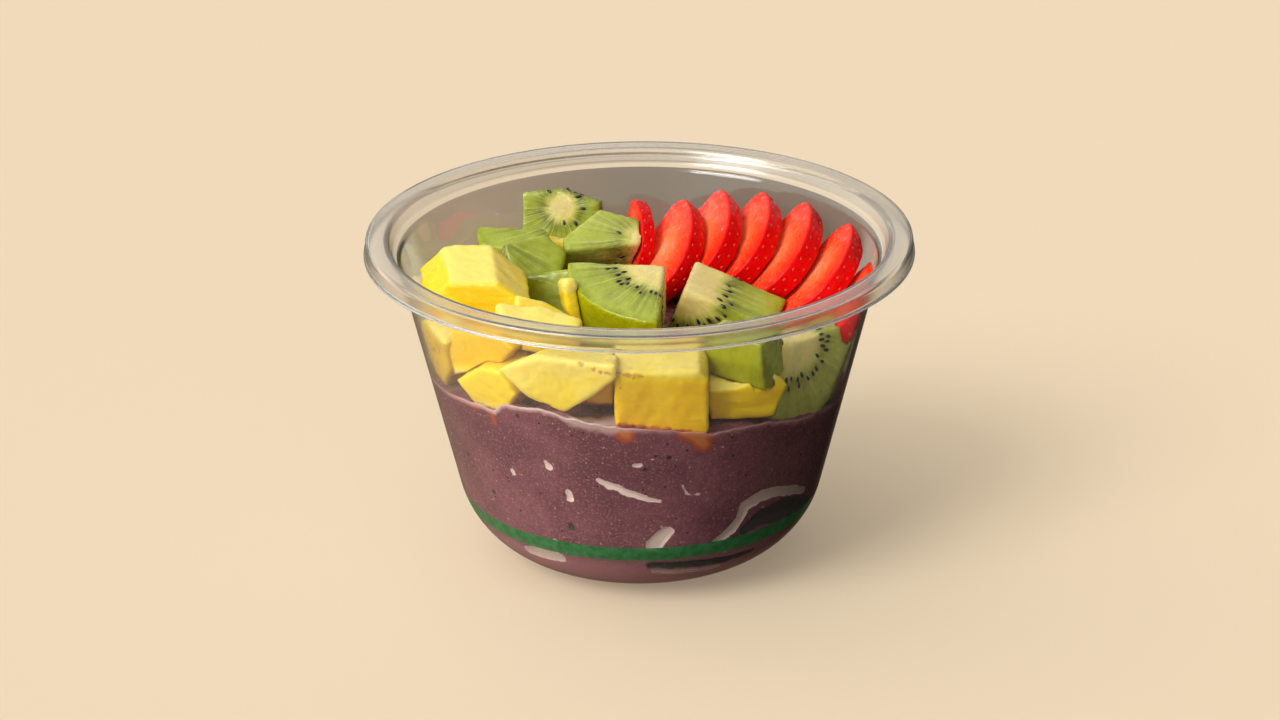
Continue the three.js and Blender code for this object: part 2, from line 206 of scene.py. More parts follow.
# ---------- the view ----------
floor_colour = (0.84, 0.695, 0.51, 1)
floor_glow = 0.27               # how much of the floor's light doesn't depend on the lamps
floor_reach = 2.5               # metres from the middle to each side
card_height = 0.5
world_strength = 1.05
room_above = [(0, (1.08, 1.04, 0.97, 1)), (0.5, (0.66, 0.63, 0.57, 1)), (1, (0.12, 0.11, 0.10, 1))]
room_below = [(0, (0.40, 0.30, 0.19, 1)), (0.5, (0.12, 0.085, 0.05, 1)),
              (0.75, (0.015, 0.011, 0.008, 1))]
sun_place = (-590, -510, 640)
sun_energy = 1.95
sun_width = 32                  # degrees across, so how soft its shadows are
panel_place = (-500, -450, 600)
panel_energy = 2.5
panel_side = 0.5                # metres
camera_place = (0, -921, 424.6)
camera_aim = (0, 0, 42.8)
camera_roll = -0.39
camera_lens = 128.7


# ---------- small helpers ----------

def smooth_step(low, high, value):
    t = np.clip((value - low) / (high - low), 0, 1)
    return t * t * (3 - 2 * t)


def relief(points, size, seed):
    """Smooth unevenness between about -1 and 1, with features of about `size`."""
    random = np.random.default_rng(seed)
    directions = random.normal(size=(9, 3))
    directions /= np.linalg.norm(directions, axis=1, keepdims=True)
    lengths = size * random.uniform(0.7, 1.5, 9)
    phases = random.uniform(0, 2 * math.pi, 9)
    waves = np.sin(points @ directions.T * (2 * math.pi / lengths) + phases)
    return waves.sum(axis=1) / 4


def unit(vector):
    return vector / max(np.linalg.norm(vector), 1e-9)


def rounded_corners(corners, steps=5):
    """A polyline from (x, y, rounding) corners, with a small curve at each of them."""
    points = []
    for index, (x, y, rounding) in enumerate(corners):
        here = np.array([x, y], float)
        if rounding == 0 or index in (0, len(corners) - 1):
            points.append(here)
            continue
        before = np.array(corners[index - 1][:2], float) - here
        after = np.array(corners[index + 1][:2], float) - here
        reach = [min(rounding, 0.49 * np.linalg.norm(side)) for side in (before, after)]
        start = here + unit(before) * reach[0]
        end = here + unit(after) * reach[1]
        for t in np.linspace(0, 1, steps):
            points.append((1 - t) ** 2 * start + 2 * t * (1 - t) * here + t ** 2 * end)
    return np.array(points)


def closed_grid(rings):
    """Points and faces of a closed body from an array of rings, capped by poles."""
    count, columns, _ = rings.shape
    points = np.concatenate([
        rings[0].mean(axis=0)[None], rings.reshape(-1, 3), rings[-1].mean(axis=0)[None]])
    side = np.arange(columns)
    after = (side + 1) % columns
    faces = []
    for ring in range(count - 1):
        upper = 1 + ring * columns
        lower = upper + columns
        quads = np.stack([upper + side, lower + side, lower + after, upper + after], axis=1)
        faces.extend(quads.tolist())
    last = 1 + (count - 1) * columns
    pairs = list(zip(side.tolist(), after.tolist()))
    faces.extend([0, 1 + a, 1 + b] for a, b in pairs)
    faces.extend([last + columns, last + b, last + a] for a, b in pairs)
    return points, faces


def put_in_scene(thing):
    bpy.context.scene.collection.objects.link(thing)


def mesh_piece(name, points, faces, materials, outward=True):
    """A new piece of the object, from points in millimetres."""
    mesh = bpy.data.meshes.new(name)
    mesh.from_pydata((np.asarray(points) * mm).tolist(), [], faces)
    for material in materials:
        mesh.materials.append(material)
    if outward:
        shell = bmesh.new()
        shell.from_mesh(mesh)
        bmesh.ops.recalc_face_normals(shell, faces=shell.faces)
        shell.to_mesh(mesh)
        shell.free()
    mesh.polygons.foreach_set("use_smooth", np.ones(len(mesh.polygons), bool))
    mesh.update()
    piece = bpy.data.objects.new(name, mesh)
    put_in_scene(piece)
    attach(piece, "root")
    return piece


def paint(piece, name, values):
    """Stores one number, or one vector, for each point of the piece."""
    values = np.asarray(values, float)
    kind, field = ("FLOAT", "value") if values.ndim == 1 else ("FLOAT_VECTOR", "vector")
    layer = piece.data.attributes.new(name, kind, "POINT")
    layer.data.foreach_set(field, values.ravel())


def vertex_vectors(mesh, field):
    values = np.empty(len(mesh.vertices) * 3)
    mesh.vertices.foreach_get(field, values)
    return values.reshape(-1, 3)


def point_normals(points, faces):
    mesh = bpy.data.meshes.new("scratch")
    mesh.from_pydata(points.tolist(), [], faces)
    normals = vertex_vectors(mesh, "normal")
    bpy.data.meshes.remove(mesh)
    return normals


def fine_copy(node, smoothing):
    """The node's shape in millimetres on a fine even grid, with its edges rounded."""
    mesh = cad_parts[node].data.copy()
    mesh.transform(Matrix.Scale(1 / mm, 4))
    welded = bmesh.new()
    welded.from_mesh(mesh)
    bmesh.ops.remove_doubles(welded, verts=welded.verts, dist=0.002)
    welded.to_mesh(mesh)
    welded.free()
    source = bpy.data.objects.new("scratch", mesh)
    put_in_scene(source)
    remesh = source.modifiers.new("grid", "REMESH")
    remesh.mode = "VOXEL"
    remesh.voxel_size = grain
    smooth = source.modifiers.new("soft", "SMOOTH")
    smooth.iterations = smoothing
    even = source.evaluated_get(bpy.context.evaluated_depsgraph_get()).data
    points = vertex_vectors(even, "co")
    faces = [list(polygon.vertices) for polygon in even.polygons]
    bpy.data.objects.remove(source)
    bpy.data.meshes.remove(mesh)
    return points, faces


# ---------- materials ----------

def colour(red, green, blue):
    """A linear colour from 0-255 display values."""
    parts = [value / 255 for value in (red, green, blue)]
    return [p / 12.92 if p <= 0.04045 else ((p + 0.055) / 1.055) ** 2.4 for p in parts] + [1]


def shades(*stops):
    """The stops of a colour ramp, from (position, red, green, blue) display values."""
    return [(position, colour(*parts)) for position, *parts in stops]


class Graph:
    """The node tree of a material or world, with short calls for the nodes that it uses."""

    def __init__(self, owner):
        self.owner = owner
        owner.use_nodes = True
        self.tree = owner.node_tree
        self.tree.nodes.clear()

    def add(self, kind, values=None, **settings):
        node = self.tree.nodes.new("ShaderNode" + kind)
        for key, value in settings.items():
            setattr(node, key, value)
        for key, value in (values or {}).items():
            self.feed(node.inputs[key], value)
        return node

    def feed(self, socket, value):
        """Links a socket or sets it; a colour can be given as three display values."""
        if isinstance(value, bpy.types.NodeSocket):
            self.tree.links.new(value, socket)
        elif socket.type == "RGBA" and len(value) == 3:
            socket.default_value = colour(*value)
        else:
            socket.default_value = value

    def attribute(self, name, output="Fac"):
        return self.add("Attribute", attribute_name=name).outputs[output]

    def math(self, operation, *values):
        return self.add("Math", dict(enumerate(values)), operation=operation).outputs[0]

    def times(self, first, second):
        return self.math("MULTIPLY", first, second)

    def plus(self, first, second):
        return self.math("ADD", first, second)

    def step(self, value, low, high, to_low=0, to_high=1):
        values = {"Value": value, "From Min": low, "From Max": high,
                  "To Min": to_low, "To Max": to_high}
        node = self.add("MapRange", values, interpolation_type="SMOOTHSTEP")
        return node.outputs["Result"]

    def blend(self, factor, first, second):
        node = self.add("Mix", data_type="RGBA")
        self.feed(node.inputs["Factor"], factor)
        self.feed(node.inputs[6], first)
        self.feed(node.inputs[7], second)
        return node.outputs[2]

    def tint(self, base, shade, factor, strength):
        """The base with the shade laid over it, by the factor times the strength."""
        return self.blend(self.times(factor, strength), base, shade)

    def around(self, value, spread):
        """A value from 0 to 1, moved to lie about 0 and stretched."""
        return self.times(self.math("SUBTRACT", value, 0.5), spread)

    def mix_shaders(self, factor, first, second):
        shaders = {0: factor, 1: first.outputs[0], 2: second.outputs[0]}
        return self.add("MixShader", shaders)

    def axes(self, vector=None):
        """The X, Y and Z of a vector, or else of the point on the object."""
        return self.add("SeparateXYZ", {"Vector": vector or self.place()}).outputs

    def flat(self, axes):
        """The vector without its Z."""
        return self.add("CombineXYZ", {"X": axes["X"], "Y": axes["Y"]}).outputs[0]

    def place(self, scale=(1, 1, 1)):
        """The point on the object, stretched by `scale`."""
        coordinates = self.add("TexCoord").outputs["Object"]
        return self.add("Mapping", {"Vector": coordinates, "Scale": scale}).outputs["Vector"]

    def noise(self, size, detail=3, vector=None):
        """Noise from 0 to 1 whose features are `size` millimetres across."""
        scale = 1 / (size * mm) if vector is None else 1 / size
        values = {"Vector": vector or self.place(), "Scale": scale, "Detail": detail}
        return self.add("TexNoise", values).outputs["Fac"]

    def dots(self, spacing, radius, share):
        """1 inside small dots, `spacing` apart, in that share of the places."""
        cells = self.add("TexVoronoi", {"Vector": self.place(), "Scale": 1 / (spacing * mm)})
        chosen = self.add("SeparateColor", {"Color": cells.outputs["Color"]}).outputs["Red"]
        near = self.step(cells.outputs["Distance"], radius / spacing, 0.6 * radius / spacing)
        return self.times(near, self.math("LESS_THAN", chosen, share))

    def ramp(self, value, stops, interpolation="EASE"):
        node = self.add("ValToRGB", {"Fac": value})
        node.color_ramp.interpolation = interpolation
        elements = node.color_ramp.elements
        while len(elements) < len(stops):
            elements.new(1)
        for element, (position, shade) in zip(elements, stops):
            element.position = position
            element.color = shade
        return node.outputs["Color"]

    def bump(self, height, depth):
        values = {"Height": height, "Distance": depth * mm, "Strength": 1}
        return self.add("Bump", values).outputs["Normal"]

    def sheen(self, size, low, high):
        """A roughness that wanders between two values."""
        return self.step(self.noise(size), 0.3, 0.7, low, high)

    def principled(self, values):
        return self.add("BsdfPrincipled", values)

    def flesh(self, shade, roughness, normal, glow, radius, specular=0.5):
        """Ends with a soft wet surface; `glow` of the light spreads in it, over `radius` mm."""
        return self.finish(self.principled({
            "Base Color": shade,
            "Roughness": roughness,
            "Specular IOR Level": specular,
            "Subsurface Weight": glow,
            "Subsurface Radius": radius,
            "Subsurface Scale": mm,
            "Normal": normal,
        }))

    def finish(self, surface, output="OutputMaterial"):
        self.add(output, {"Surface": surface.outputs[0]})
        return self.owner

    def lets_lamps_through(self, surface, tint):
        """The surface itself for every ray but the ones to the lamps."""
        shadow = self.add("LightPath").outputs["Is Shadow Ray"]
        clear = self.add("BsdfTransparent", {"Color": tint})
        return self.mix_shaders(shadow, surface, clear)


def material_graph(name):
    return Graph(bpy.data.materials.new(name))


def clear_plastic():
    graph = material_graph("clear_plastic")
    height = graph.axes()["Z"]
    plastic = graph.principled({
        "Base Color": (247, 245, 241),
        "Roughness": graph.step(height, ledge_height * mm, rise_height * mm, 0.04, 0.14),
        "IOR": 1.46,
        "Transmission Weight": 0.975,
        "Normal": graph.bump(graph.noise(14, detail=1), 0.05),
    })
    return graph.finish(graph.lets_lamps_through(plastic, (248, 247, 244)))


def printed_line():
    graph = material_graph("printed_line")
    wear = graph.step(graph.noise(1.5), 0.3, 0.7)
    ink = graph.principled({
        "Base Color": graph.blend(wear, (34, 128, 64), (62, 156, 96)),
        "Roughness": 0.3,
        "Alpha": 0.82,
    })
    return graph.finish(graph.lets_lamps_through(ink, (210, 235, 210)))


def acai_grain(graph):
    """Cream in soft clouds, with fine grit and pale and dark specks."""
    clouds = graph.step(graph.noise(16, detail=4), 0.35, 0.65)
    cream = graph.blend(clouds, (120, 66, 80), (146, 88, 100))
    mottle = graph.step(graph.noise(1.6, detail=4), 0.35, 0.7)
    cream = graph.tint(cream, (98, 48, 62), mottle, 0.35)
    grit = graph.step(graph.noise(0.5, detail=2), 0.5, 0.7)
    cream = graph.tint(cream, (190, 134, 138), grit, 0.4)
    for spacing, radius, share, strength, shade in acai_specks:
        cream = graph.tint(cream, shade, graph.dots(spacing, radius, share), strength)
    return cream


def acai_cream():
    graph = material_graph("acai_cream")
    cream = acai_grain(graph)
    # Painted light: towards the foot the cream is painted paler and pinker, standing in for light
    # bounced up from the floor.
    foot = graph.step(graph.axes()["Z"], 17 * mm, 6 * mm)
    cream = graph.tint(cream, (228, 160, 172), foot, 0.75)
    ragged = graph.around(graph.noise(1.3), 0.9)

    def patch(name, low, high):
        return graph.step(graph.plus(graph.attribute(name), ragged), low, high)

    stain = patch("stain", -1.8, 1.6)
    juice = graph.ramp(stain, shades((0, 128, 58, 54), (0.6, 190, 88, 52), (1, 214, 132, 62)))
    cream = graph.tint(cream, juice, graph.step(stain, 0.0, 0.6), 0.9)
    film = graph.times(patch("under", 1.5, 0.5), graph.attribute("film"))
    cream = graph.tint(cream, (206, 176, 174), film, 0.9)
    # Painted light, with a thin smear: near the wall, between the azimuths given at the top, the
    # acai's top is painted pale, as if lit, though the fruit above shades it.
    lit_smear = graph.blend(graph.noise(2.5), (206, 186, 190), (226, 208, 208))
    cream = graph.blend(graph.attribute("lit_smear"), cream, lit_smear)
    cream = graph.blend(patch("pocket", -0.12, 0.12), cream, (244, 220, 214))
    # Painted shade: the cream in the dark hollows is painted near black.
    cream = graph.blend(patch("hollow", -0.3, 0.5), cream, (20, 10, 12))
    uneven = graph.bump(graph.noise(1.2, detail=4), 0.12)
    return graph.flesh(cream, graph.sheen(3, 0.28, 0.42), uneven, 0.12, (2, 0.8, 0.8))


def mango_flesh():
    graph = material_graph("mango_flesh")
    patches = graph.around(graph.noise(9), 0.7)
    # The pale attribute is mostly painted highlight and light: it takes the flesh from deep yellow
    # to pale cream.
    flesh = graph.ramp(graph.plus(graph.attribute("pale"), patches), shades(
        (0, 248, 202, 0), (0.35, 252, 216, 2), (0.7, 252, 222, 50),
        (1, 253, 230, 116),
    ))
    fibres = graph.noise(1, detail=4, vector=graph.place((300, 300, 1400)))
    flesh = graph.tint(flesh, (255, 230, 96), graph.step(fibres, 0.45, 0.7), 0.25)
    ragged = graph.around(graph.noise(0.9, detail=4), 2.4)
    mark = graph.step(graph.plus(graph.attribute("mark"), ragged), 0.0, 0.4)
    flesh = graph.tint(flesh, (180, 104, 50), mark, 0.65)
    flesh = graph.tint(flesh, (120, 70, 30), graph.dots(5.5, 0.3, 0.3), 0.8)
    wet = graph.plus(graph.attribute("soak"), graph.around(graph.noise(2), 1.4))
    soaked = graph.ramp(graph.step(wet, 0, 1), shades(
        (0, 150, 70, 44), (0.4, 206, 112, 44), (0.75, 238, 170, 36),
        (1, 248, 206, 22),
    ))
    flesh = graph.blend(graph.step(wet, 0.9, 0.3), flesh, soaked)
    uneven = graph.bump(fibres, 0.1)
    return graph.flesh(flesh, graph.sheen(2.5, 0.24, 0.45), uneven, 0.3, (3, 2.6, 0.6), 0.35)


def kiwi_flesh():
    graph = material_graph("kiwi_flesh")
    axes = graph.axes(graph.attribute("fruit", "Vector"))
    spoke = graph.add("VectorMath", {0: graph.flat(axes)}, operation="NORMALIZE").outputs[0]
    along = graph.times(axes["Z"], 1.2)
    height = graph.add("CombineXYZ", {"Z": along}).outputs[0]
    rays = graph.add("VectorMath", {0: spoke, 1: height}, operation="ADD").outputs[0]
    fine_rays = graph.noise(0.045, detail=2, vector=rays)
    broad_rays = graph.noise(0.16, detail=2, vector=rays)
    reach = graph.plus(graph.attribute("reach"), graph.around(broad_rays, 0.2))
    flesh = graph.ramp(reach, shades(
        (0, 236, 218, 150), (0.33, 230, 214, 136), (0.41, 202, 200, 104),
        (0.5, 142, 152, 44), (0.66, 160, 172, 56), (0.9, 172, 186, 66),
        (0.97, 152, 166, 36), (1, 136, 148, 10),
    ))
    ring = graph.times(graph.step(reach, 0.40, 0.52), graph.step(reach, 1.0, 0.7))
    seeds = graph.times(graph.step(reach, 0.39, 0.46), graph.step(reach, 0.64, 0.5))
    for pattern, low, high, where, strength, shade in [
        (fine_rays, 0.5, 0.68, ring, 0.5, (214, 218, 138)),
        (broad_rays, 0.52, 0.3, ring, 0.5, (102, 120, 18)),
        (fine_rays, 0.56, 0.36, seeds, 0.6, (84, 84, 40)),
    ]:
        streaks = graph.times(graph.step(pattern, low, high), where)
        flesh = graph.tint(flesh, shade, streaks, strength)
    peeled = graph.step(graph.attribute("peeled"), 0.3, 0.8)
    skin = graph.blend(graph.noise(5), (150, 158, 2), (178, 184, 12))
    flesh = graph.blend(peeled, flesh, skin)
    # Painted light: the pieces listed as paler are painted towards pale yellow, as if more light
    # reached them.
    flesh = graph.blend(graph.attribute("painted_light"), flesh, (240, 236, 150))
    uneven = graph.bump(fine_rays, 0.12)
    return graph.flesh(flesh, graph.sheen(1.5, 0.2, 0.4), uneven, 0.3, (1.6, 2.4, 0.5))


def strawberry_flesh():
    graph = material_graph("strawberry_flesh")
    place = graph.attribute("berry", "Vector")
    axes = graph.axes(place)
    stretched = graph.add("Mapping", {"Vector": place, "Scale": (3, 1.2, 0.5)}).outputs[0]
    veins = graph.noise(0.12, vector=stretched)
    cut = graph.ramp(graph.plus(axes["Z"], graph.around(veins, 0.25)), shades(
        (0, 255, 152, 104), (0.3, 255, 118, 66), (0.6, 255, 74, 26),
        (0.82, 254, 48, 8), (0.95, 246, 28, 4), (1, 224, 8, 2),
    ))
    middle = graph.step(graph.math("ABSOLUTE", axes["X"]), 1.0, 0.3)
    lines = graph.times(graph.step(veins, 0.5, 0.68), middle)
    cut = graph.tint(cut, (255, 186, 160), lines, 0.35)
    skin = graph.blend(graph.noise(4), (200, 0, 14), (240, 6, 2))
    shade = graph.blend(graph.step(graph.attribute("skin"), 0.25, 0.75), cut, skin)
    uneven = graph.bump(graph.noise(0.9), 0.08)
    return graph.flesh(shade, graph.sheen(2, 0.24, 0.46), uneven, 0.3, (3.5, 0.7, 0.4), 0.12)


def small_seed(name, roughness, size, dark, light):
    graph = material_graph(name)
    shade = graph.blend(graph.noise(size), dark, light)
    return graph.finish(graph.principled({"Base Color": shade, "Roughness": roughness}))


def kiwi_seed():
    return small_seed("kiwi_seed", 0.25, 0.8, (22, 16, 18), (58, 40, 40))


def strawberry_pip():
    return small_seed("strawberry_pip", 0.3, 1.5, (240, 78, 40), (214, 30, 22))


# ---------- the tub ----------

def wall_radius(height):
    return foot_radius + wall_slope * height


def wall_profile(inset, steps=28):
    """The tub's side from the foot's edge up to the ledge, moved inwards by `inset`."""
    reach = foot_fillet * math.tan((math.pi / 2 - wall_angle) / 2)
    angles = np.linspace(-math.pi / 2, -wall_angle, steps)
    radius = foot_fillet - inset
    arc = [(foot_radius - reach + radius * math.cos(a), foot_fillet + radius * math.sin(a))
           for a in angles]
    edge = wall_radius(ledge_height) - inset / upright
    return arc + [(edge, ledge_height)]


def foot_profile(inset):
    return [(0, push_up_height + inset, 0), (push_up_radius, push_up_height + inset, 1.5),
            (push_up_radius + push_up_width, inset, 1.5)]


def tub_profile():
    """The whole section, from the axis under the foot round to the axis above it."""
    under = tub_height - sheet
    skirt_foot = tub_height - skirt_height
    skirt_inside = rim_radius - sheet
    lip = rim_radius + lip_width
    outside = [(r, z, 0) for r, z in wall_profile(0)]
    rim = [
        (rise_radius + sheet, rise_height - 0.3, 0.8),
        (rim_inner_radius + sheet, under, 0.5),
        (skirt_inside, under, 0.3),
        (skirt_inside, skirt_foot, 0.15),
        (lip, skirt_foot, 0.15),
        (lip, skirt_foot + 0.6 * lip_height, 0.2),
        (rim_radius, skirt_foot + lip_height, 0.2),
        (rim_radius, tub_height, 0.9),
        (rim_inner_radius, tub_height, 0.9),
        (rise_radius, rise_height, 0.9),
    ]
    inside = [(r, z, 0) for r, z in wall_profile(sheet)][::-1]
    corners = (foot_profile(0) + outside[:-1] + [(*outside[-1][:2], 0.8)] + rim
               + [(*inside[0][:2], 0.8)] + inside[1:] + foot_profile(sheet)[::-1])
    return rounded_corners(corners)


def with_heights(profile, heights):
    """Adds points where the profile, on its way up, passes these heights."""
    points = [tuple(profile[0])]
    for start, end in zip(profile[:-1], profile[1:]):
        for height in heights:
            if start[1] < height < end[1]:
                t = (height - start[1]) / (end[1] - start[1])
                points.append((start[0] + t * (end[0] - start[0]), height))
        points.append(tuple(end))
    return np.array(points)


def revolve(profile, columns):
    angles = np.arange(columns) * 2 * math.pi / columns
    circle = np.stack([np.cos(angles), np.sin(angles)], axis=1)
    rings = np.empty((len(profile), columns, 3))
    rings[:, :, :2] = profile[:, 0][:, None, None] * circle[None]
    rings[:, :, 2] = profile[:, 1][:, None]
    return rings


def make_tub():
    profile = with_heights(tub_profile(), (line_foot, line_top))
    points, faces = closed_grid(revolve(profile[1:-1], tub_sides))
    tub = mesh_piece("tub_shell", points, faces, [clear_plastic(), printed_line()])
    middles = np.array([polygon.center for polygon in tub.data.polygons]) / mm
    normals = np.array([polygon.normal for polygon in tub.data.polygons])
    printed = (middles[:, 2] > line_foot) & (middles[:, 2] < line_top)
    outward = (normals[:, :2] * middles[:, :2]).sum(axis=1) > 0
    tub.data.polygons.foreach_set("material_index", (printed & outward).astype(np.int32))
    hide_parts("tub")


# ---------- the fruit ----------

def cut_matrix(at, faces):
    """The frame of a cut face, whose +Z looks towards the azimuth and elevation."""
    azimuth, elevation = faces
    turn = Matrix.Rotation(math.radians(azimuth + 90), 4, "Z")
    tilt = Matrix.Rotation(math.radians(90 - elevation), 4, "X")
    return Matrix.Translation(at) @ turn @ tilt


def moved(matrix, points):
    matrix = np.array(matrix)
    return points @ matrix[:3, :3].T + matrix[:3, 3]


def level_at(azimuth):
    """Height of the acai's edge at these azimuths, in degrees."""
    turns = np.array([turn for turn, _ in acai_level], float)
    heights = np.array([height for _, height in acai_level], float)
    turns = np.concatenate([turns - 360, turns, turns + 360])
    heights = np.tile(heights, 3)
    return np.interp(azimuth, turns, heights)


def above_acai(points):
    azimuth = np.degrees(np.arctan2(points[:, 1], points[:, 0]))
    return points[:, 2] - level_at(azimuth)


def mark_depth(node, points):
    """How deep each point lies inside the node's brown mark; negative outside it."""
    depth = np.full(len(points), -5.0)
    line = brown_marks.get(node, [])
    for start, end in zip(line[:-1], line[1:]):
        depth = np.maximum(depth, mark_width / 2 - segment_distance(points, start, end))
    return depth


def segment_distance(points, start, end):
    start = np.array(start, float)
    way = np.array(end, float) - start
    t = np.clip((points - start) @ way / (way @ way), 0, 1)
    return np.linalg.norm(points - start - t[:, None] * way, axis=1)


def make_mango(node, seed, material):
    points, faces = fine_copy(node, smoothing=12)
    normals = point_normals(points, faces)
    uneven = 0.22 * relief(points, 9, seed) + 0.07 * relief(points, 2.4, seed + 1)
    points = points + normals * (uneven + 0.05)[:, None]
    piece = mesh_piece(node + "_flesh", points, faces, [material], outward=False)
    low, high = points[:, 2].min(), points[:, 2].max()
    height = (points[:, 2] - low) / (high - low)
    # Painted highlight and light: faces that look up and the top of each piece are painted pale,
    # as where light falls on them and shines; the pieces in pale_below are painted pale towards
    # the bottom instead, and those in paler are painted paler all over.
    if node in pale_below:
        pale = smooth_step(0.32, 0.1, height)
    else:
        upper = 0.9 * smooth_step(0.7, 0.88, height)
        pale = np.maximum(smooth_step(0.45, 0.95, normals[:, 2]), upper)
    paint(piece, "pale", np.minimum(1, pale + paler.get(node, 0)))
    paint(piece, "soak", above_acai(points) / 2.2 + 0.9)
    paint(piece, "mark", mark_depth(node, points))
    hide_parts(node)


def make_kiwi(node, seed, material):
    at, looks, radius, core, _ = kiwi_cuts[node]
    points, faces = fine_copy(node, smoothing=7)
    normals = point_normals(points, faces)
    uneven = 0.10 * relief(points, 6, seed) + 0.05 * relief(points, 1.8, seed + 1)
    points = points + normals * (uneven - 0.05)[:, None]
    piece = mesh_piece(node + "_flesh", points, faces, [material], outward=False)
    matrix = cut_matrix(at, looks)
    local = moved(matrix.inverted(), points)
    across = np.hypot(local[:, 0], local[:, 1])
    away = across / radius
    reach = np.where(away < core, away / core * 0.4, 0.4 + (away - core) / (1 - core) * 0.6)
    facing = normals @ np.array(matrix)[:3, :3]
    spoke = local[:, :2] / np.maximum(across, 1e-6)[:, None]
    peeled = (facing[:, :2] * spoke).sum(axis=1) * smooth_step(0.9, 0.97, away)
    paint(piece, "fruit", local / radius)
    paint(piece, "reach", reach)
    paint(piece, "peeled", np.clip(peeled, 0, 1))
    paint(piece, "painted_light", np.full(len(points), painted_light.get(node, 0)))
    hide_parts(node)
    return points, faces


def drop_shape(size, shares, bluntness, lopsided):
    """A small drop, long along X and flat along Z, in rings at these shares of its length."""
    length, width, thickness = size
    angles = np.arange(8) * math.pi / 4
    rings = []
    for t in shares:
        swell = math.sin(math.pi * t) ** bluntness * (1 + lopsided * (t - 0.5))
        rings.append(np.stack([np.full(8, (t - 0.5) * length),
                               width / 2 * swell * np.cos(angles),
                               thickness / 2 * swell * np.sin(angles)], axis=1))
    return closed_grid(np.array(rings))


def scatter(name, shape, places, material):
    """One joined piece with a copy of the shape at each (point, along, normal, scale)."""
    shape_points, shape_faces = shape
    points = []
    faces = []
    for point, along, normal, scale in places:
        across = np.cross(normal, along)
        basis = np.stack([along, across, normal])
        offset = len(points) * len(shape_points)
        points.append(shape_points * scale @ basis + point)
        faces.extend([[corner + offset for corner in face] for face in shape_faces])
    return mesh_piece(name, np.concatenate(points), faces, [material])


def kiwi_seed_places(node, points, faces, random):
    """Seeds lie in rays round the core; those that the cuts lay open show."""
    at, looks, radius, core, seeded = kiwi_cuts[node]
    matrix = cut_matrix(at, looks)
    turn = np.array(matrix)[:3, :3]
    surface = BVHTree.FromPolygons(points.tolist(), faces)
    inner = core + 0.03
    ray_step = math.degrees(1.8 / (radius * (core + 0.12)))
    places = []
    for layer, z in enumerate(np.arange(0, -15, -2.1)):
        for ray, angle in enumerate(np.arange(0, 360, ray_step)):
            for index, share in enumerate((0.03, 0.13)):
                spread = inner + share * (1 - core) + (0.04 if (ray + layer) % 2 else 0)
                away = radius * (spread + random.normal(0, 0.02))
                heading = math.radians(angle + random.normal(0, 2) + index * ray_step / 2)
                if random.random() > 0.85 * seeded:
                    continue
                wanted = matrix @ Vector((away * math.cos(heading), away * math.sin(heading), z))
                found, normal, _, distance = surface.find_nearest(wanted)
                if distance > seed_gap:
                    continue
                found, normal = np.array(found), np.array(normal)
                if any(np.linalg.norm(found - other[0]) < seed_gap for other in places):
                    continue
                spoke = turn @ np.array([math.cos(heading), math.sin(heading), 0])
                along = unit(spoke - normal * (spoke @ normal) + random.normal(0, 0.12, 3))
                along = unit(along - normal * (along @ normal))
                places.append((found - 0.06 * normal, along, normal, random.uniform(0.8, 1.1)))
    return places


def slice_matrix(tip, turn, rise, lean):
    """The slice's own axes: y along its length to the tip, z out of its cut face."""
    turn, rise, lean = (math.radians(angle) for angle in (turn, rise, lean))
    along = Vector((math.cos(turn) * math.cos(rise), math.sin(turn) * math.cos(rise),
                    math.sin(rise)))
    left = Vector((-math.sin(turn), math.cos(turn), 0))
    normal = along.cross(left) * math.cos(lean) + left * math.sin(lean)
    across = along.cross(normal)
    matrix = Matrix((across, along, normal)).transposed().to_4x4()
    matrix.translation = tip
    return matrix


def berry_outline(scale, back, angles, share=1.0):
    """Points of the slice at depth `back`; share 1 is its skin and 0 its middle."""
    size = scale * math.sqrt(1 - ((berry_cut - back) / berry_depth) ** 2)
    taper = 1 - berry_taper * np.sin(angles)
    return np.stack([
        berry_width / 2 * size * share * np.cos(angles) * taper,
        -berry_length / 2 * scale + berry_length / 2 * size * share * np.sin(angles),
        np.full(len(angles), -back),
    ], axis=1)


def berry_pips(scale, thickness):
    """Where the pips sit on the skin: (angle, depth)."""
    count = int(berry_length * 2.6 * scale / pip_spacing)
    return [(2 * math.pi * (index + row / 2) / count, share * thickness)
            for row, share in enumerate(pip_rows) for index in range(count)]


def berry_rows(thickness):
    """Depth and share of each ring, from the middle of one cut over the skin to the other."""
    cut = [*np.linspace(0.05, 0.93, cut_rings), 0.965]
    skin = np.linspace(knife_edge, thickness - knife_edge, skin_rings)
    return ([(0, share) for share in cut] + [(back, 1) for back in skin]
            + [(thickness, share) for share in reversed(cut)])


